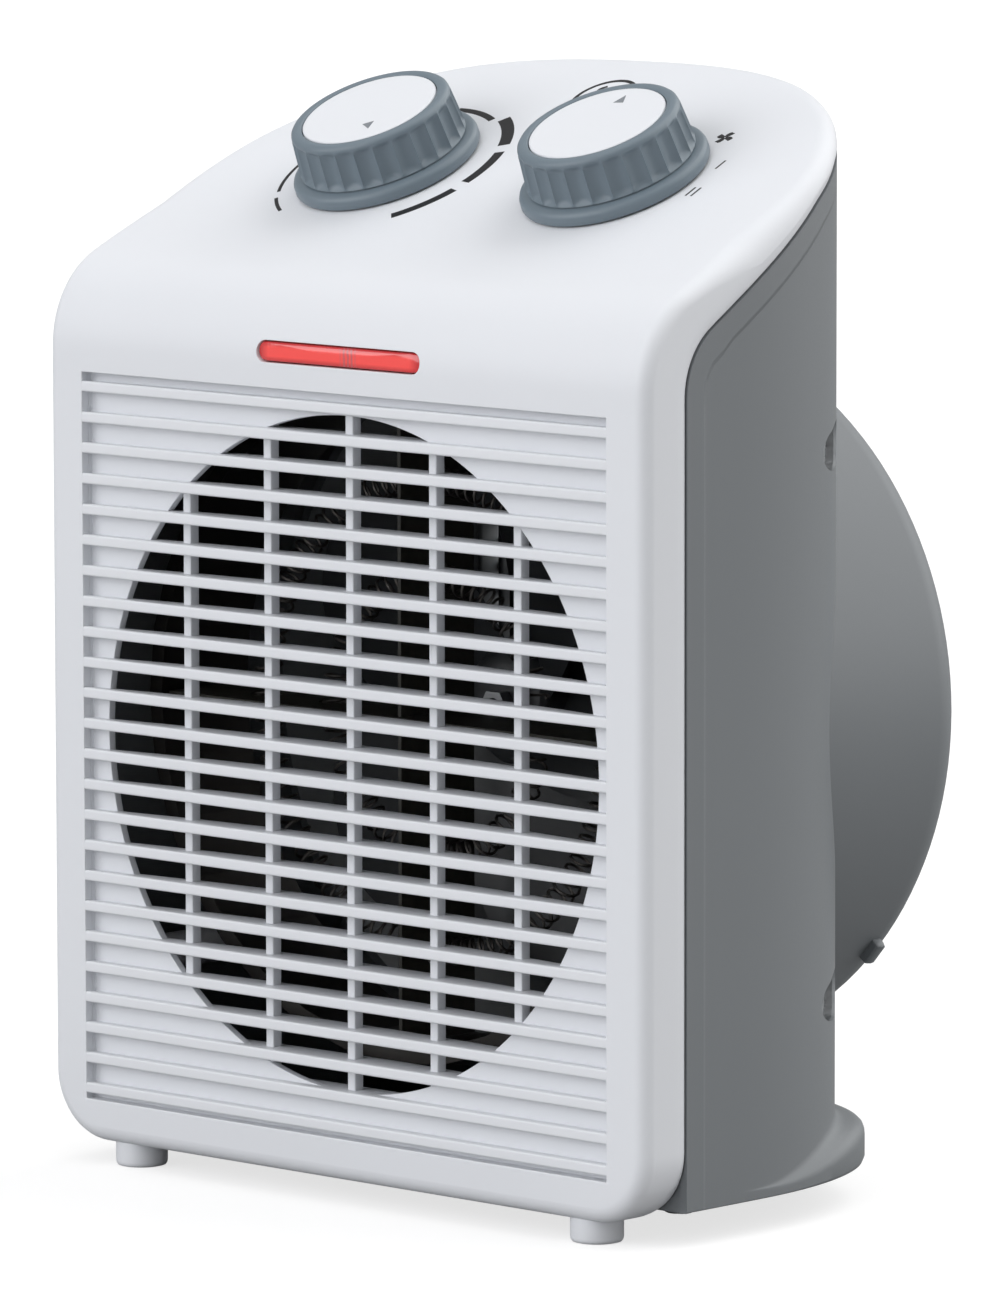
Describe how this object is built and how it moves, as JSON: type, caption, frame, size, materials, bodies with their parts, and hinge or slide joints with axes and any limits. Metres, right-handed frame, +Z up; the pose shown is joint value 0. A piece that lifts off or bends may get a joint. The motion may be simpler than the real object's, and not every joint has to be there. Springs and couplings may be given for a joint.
{
  "type": "fan convector heater",
  "caption": "Upright fan convector heater with a slatted air outlet in a white front cover, a grey rear housing with a round fan drum, and two rotary controls on a sloping top.",
  "frame": {"origin": "middle of the footprint, on the floor", "axes": "+Z up; the air outlet faces -Y; +X is on the right of someone facing the outlet, where the selector knob is"},
  "size_m": [0.187, 0.12, 0.2545],
  "materials": {
    "white_polypropylene": "fine satin moulding",
    "grey_polypropylene": "fine satin moulding",
    "knob_abs": "satin moulding",
    "red_polycarbonate": "clear red moulding, polished",
    "neon_glass": "clear glass",
    "dark_nylon": "satin moulding",
    "phenolic": "semi-gloss phenolic moulding",
    "zinc_plated_steel": "zinc plated",
    "electrical_steel": "stacked laminations",
    "enamelled_copper": "enamelled winding wire",
    "sintered_bronze": "sintered, oiled",
    "nichrome": "oxidised resistance wire",
    "mica_board": "pressed mica",
    "fan_plastic": "satin moulding",
    "black_rubber": "matt rubber",
    "silicone_sleeve": "silicone sleeving"
  },
  "bodies": {
    "heater": {"base_plate": "grey_polypropylene", "base_screw_1": "zinc_plated_steel", "base_screw_2": "zinc_plated_steel", "base_screw_3": "zinc_plated_steel", "base_screw_4": "zinc_plated_steel", "control_wire": "silicone_sleeve", "cord_gland": "black_rubber", "element_ring": "zinc_plated_steel", "element_wire": "silicone_sleeve", "front_cover": "white_polypropylene", "front_foot_left": "white_polypropylene", "front_foot_right": "white_polypropylene", "grille_latch": "grey_polypropylene", "heating_coil_inner": "nichrome", "heating_coil_outer": "nichrome", "housing_screw_1": "zinc_plated_steel", "housing_screw_2": "zinc_plated_steel", "housing_screw_3": "zinc_plated_steel", "housing_screw_4": "zinc_plated_steel", "indicator_lens": "red_polycarbonate", "lamp_holder": "dark_nylon", "mica_board_level": "mica_board", "mica_board_upright": "mica_board", "motor_bearing_front": "sintered_bronze", "motor_bearing_rear": "sintered_bronze", "motor_bracket_front": "zinc_plated_steel", "motor_bracket_rear": "zinc_plated_steel", "motor_screw_left": "zinc_plated_steel", "motor_screw_right": "zinc_plated_steel", "motor_stator": "electrical_steel", "motor_winding": "enamelled_copper", "neon_lamp": "neon_glass", "rear_foot_left": "black_rubber", "rear_foot_right": "black_rubber", "rear_grille": "grey_polypropylene", "rear_housing": "grey_polypropylene", "selector_nut": "zinc_plated_steel", "selector_switch": "phenolic", "supply_wire": "silicone_sleeve", "terminal_block": "dark_nylon", "thermal_cutout": "zinc_plated_steel", "thermal_fuse": "nichrome", "thermostat_bimetal": "sintered_bronze", "thermostat_body": "phenolic", "thermostat_nut": "zinc_plated_steel"},
    "fan": {"fan_impeller": "fan_plastic", "motor_shaft": "zinc_plated_steel", "motor_rotor": "electrical_steel", "fan_nut": "zinc_plated_steel"},
    "thermostat": {"thermostat_knob": "knob_abs", "thermostat_cap": "white_polypropylene", "thermostat_shaft": "zinc_plated_steel"},
    "selector": {"selector_knob": "knob_abs", "selector_cap": "white_polypropylene", "selector_shaft": "zinc_plated_steel"}
  },
  "joints": [
    {"name": "fan_spin", "type": "hinge", "parent": "heater", "child": "fan", "pos_m": [0, 0.002, 0.1089], "axis": [0, 1, 0], "continuous": true},
    {"name": "thermostat_turn", "type": "hinge", "parent": "heater", "child": "thermostat", "pos_m": [-0.0356, -0.0061, 0.2313], "axis": [0, 0.4384, -0.8988], "range_deg": [0, 300]},
    {"name": "selector_turn", "type": "hinge", "parent": "heater", "child": "selector", "pos_m": [0.0356, -0.0061, 0.2313], "axis": [0, 0.4384, -0.8988], "range_deg": [0, 100]}
  ]
}
